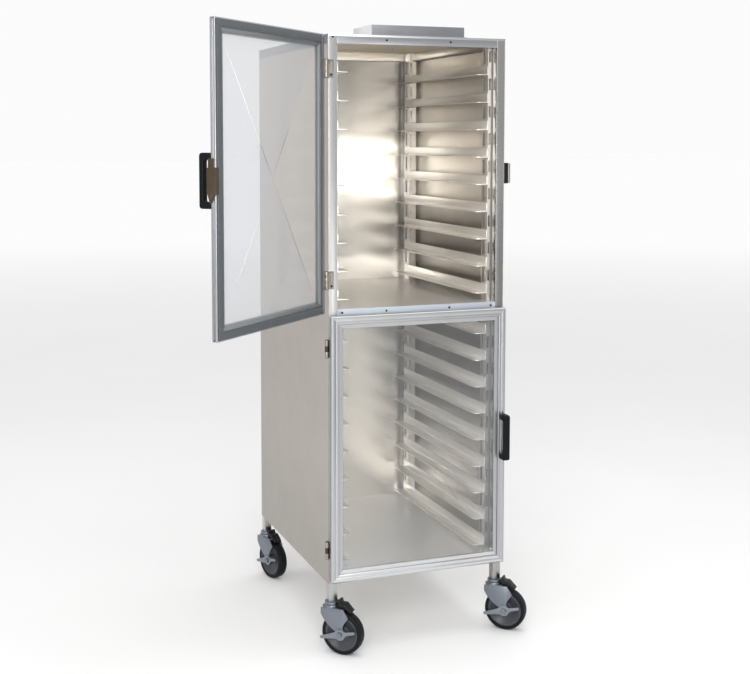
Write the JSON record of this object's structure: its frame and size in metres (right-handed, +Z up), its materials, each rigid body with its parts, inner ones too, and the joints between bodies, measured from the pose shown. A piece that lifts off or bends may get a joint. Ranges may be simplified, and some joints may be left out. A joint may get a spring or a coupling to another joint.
{
  "type": "proofing cabinet",
  "caption": "Mobile full-height proofing cabinet: square-tube frame, sheet skins, two bays of pan slides behind two glazed doors, swivel casters with brakes",
  "frame": {"origin": "on the floor, under the centre of the cabinet body", "axes": "+Z up along the cabinet's height, -Y the way the doors face, +X to the right seen from the front"},
  "size_m": [1.084, 1.1354, 1.833],
  "materials": {
    "frame_tube": "extruded square tube, satin",
    "outer_sheet": "rolled sheet, satin outside",
    "inner_sheet": "brushed sheet",
    "slide_metal": "brushed formed angle",
    "trim_metal": "bright strip",
    "door_extrusion": "extruded door section, satin",
    "bead": "dark glazing bead",
    "window": "clear polycarbonate sheet",
    "gasket": "extruded door gasket",
    "hinge_steel": "stamped stainless leaf",
    "screw_steel": "pan-head screw",
    "handle_plastic": "moulded black nylon",
    "latch_metal": "plated latch case",
    "strike_plastic": "black moulding round a magnet",
    "caster_steel": "zinc-plated stamping",
    "lever_steel": "plated steel lever",
    "brake_plastic": "black moulded housing",
    "hub_plastic": "grey moulded core",
    "tyre": "black moulded rubber tread"
  },
  "bodies": {
    "cabinet": {"front_left_post": "frame_tube", "front_right_post": "frame_tube", "rear_left_post": "frame_tube", "rear_right_post": "frame_tube", "front_rails": "frame_tube", "rear_rails": "frame_tube", "left_side_rails": "frame_tube", "right_side_rails": "frame_tube", "left_side_panel": "outer_sheet", "right_side_panel": "outer_sheet", "back_panel": "outer_sheet", "roof_panel": "outer_sheet", "floor_pan": "inner_sheet", "divider_shelf": "inner_sheet", "sill_strip": "trim_metal", "frame_screws": "screw_steel", "left_uprights": "inner_sheet", "right_uprights": "inner_sheet", "left_slides": "slide_metal", "right_slides": "slide_metal", "vent_hood": "inner_sheet", "post_hinge_leaves": "hinge_steel", "hinge_pins": "hinge_steel", "latch_strikes": "strike_plastic", "strike_covers": "latch_metal", "caster_stems": "caster_steel"},
    "upper_door": {"upper_door_frame": "door_extrusion", "upper_door_window": "window", "upper_door_beads": "bead", "upper_door_gasket": "gasket", "upper_door_hinge_leaves": "hinge_steel", "upper_door_handle": "handle_plastic", "upper_door_latch": "latch_metal"},
    "lower_door": {"lower_door_frame": "door_extrusion", "lower_door_window": "window", "lower_door_beads": "bead", "lower_door_gasket": "gasket", "lower_door_hinge_leaves": "hinge_steel", "lower_door_handle": "handle_plastic", "lower_door_latch": "latch_metal"},
    "front_left_swivel": {"front_left_fork": "caster_steel", "front_left_brake_housing": "brake_plastic"},
    "front_left_wheel": {"front_left_hub": "hub_plastic", "front_left_tyre": "tyre"},
    "front_left_brake": {"front_left_brake_lever": "lever_steel"},
    "front_right_swivel": {"front_right_fork": "caster_steel", "front_right_brake_housing": "brake_plastic"},
    "front_right_wheel": {"front_right_hub": "hub_plastic", "front_right_tyre": "tyre"},
    "front_right_brake": {"front_right_brake_lever": "lever_steel"},
    "rear_left_swivel": {"rear_left_fork": "caster_steel", "rear_left_brake_housing": "brake_plastic"},
    "rear_left_wheel": {"rear_left_hub": "hub_plastic", "rear_left_tyre": "tyre"},
    "rear_left_brake": {"rear_left_brake_lever": "lever_steel"},
    "rear_right_swivel": {"rear_right_fork": "caster_steel", "rear_right_brake_housing": "brake_plastic"},
    "rear_right_wheel": {"rear_right_hub": "hub_plastic", "rear_right_tyre": "tyre"},
    "rear_right_brake": {"rear_right_brake_lever": "lever_steel"}
  },
  "joints": [
    {"name": "upper_door_hinge", "type": "hinge", "parent": "cabinet", "child": "upper_door", "pos_m": [-0.286, -0.359, 1.40305], "axis": [0, 0, -1], "range_deg": [-137, 63]},
    {"name": "lower_door_hinge", "type": "hinge", "parent": "cabinet", "child": "lower_door", "pos_m": [-0.286, -0.359, 0.60655], "axis": [0, 0, -1], "range_deg": [0, 200]},
    {"name": "front_left_swivel_turn", "type": "hinge", "parent": "cabinet", "child": "front_left_swivel", "pos_m": [-0.2657, -0.3433, 0.14], "axis": [0, 0, 1], "continuous": true},
    {"name": "front_left_wheel_spin", "type": "hinge", "parent": "front_left_swivel", "child": "front_left_wheel", "pos_m": [-0.24, -0.36992, 0.0635], "axis": [0.7193, 0.6947, 0], "continuous": true},
    {"name": "front_left_brake_turn", "type": "hinge", "parent": "front_left_swivel", "child": "front_left_brake", "pos_m": [-0.25726, -0.38659, 0.0635], "axis": [0.7193, 0.6947, 0], "range_deg": [0, 30]},
    {"name": "front_right_swivel_turn", "type": "hinge", "parent": "cabinet", "child": "front_right_swivel", "pos_m": [0.2657, -0.3433, 0.14], "axis": [0, 0, 1], "continuous": true},
    {"name": "front_right_wheel_spin", "type": "hinge", "parent": "front_right_swivel", "child": "front_right_wheel", "pos_m": [0.29254, -0.36877, 0.0635], "axis": [0.6884, 0.7254, 0], "continuous": true},
    {"name": "front_right_brake_turn", "type": "hinge", "parent": "front_right_swivel", "child": "front_right_brake", "pos_m": [0.27602, -0.38618, 0.0635], "axis": [0.6884, 0.7254, 0], "range_deg": [0, 30]},
    {"name": "rear_left_swivel_turn", "type": "hinge", "parent": "cabinet", "child": "rear_left_swivel", "pos_m": [-0.2657, 0.3417, 0.14], "axis": [0, 0, 1], "continuous": true},
    {"name": "rear_left_wheel_spin", "type": "hinge", "parent": "rear_left_swivel", "child": "rear_left_wheel", "pos_m": [-0.25427, 0.30651, 0.0635], "axis": [0.9511, 0.309, 0], "continuous": true},
    {"name": "rear_left_brake_turn", "type": "hinge", "parent": "rear_left_swivel", "child": "rear_left_brake", "pos_m": [-0.27709, 0.29909, 0.0635], "axis": [0.9511, 0.309, 0], "range_deg": [0, 30]},
    {"name": "rear_right_swivel_turn", "type": "hinge", "parent": "cabinet", "child": "rear_right_swivel", "pos_m": [0.2657, 0.3417, 0.14], "axis": [0, 0, 1], "continuous": true},
    {"name": "rear_right_wheel_spin", "type": "hinge", "parent": "rear_right_swivel", "child": "rear_right_wheel", "pos_m": [0.2842, 0.30966, 0.0635], "axis": [0.866, 0.5, 0], "continuous": true},
    {"name": "rear_right_brake_turn", "type": "hinge", "parent": "rear_right_swivel", "child": "rear_right_brake", "pos_m": [0.26342, 0.29766, 0.0635], "axis": [0.866, 0.5, 0], "range_deg": [0, 30]}
  ]
}
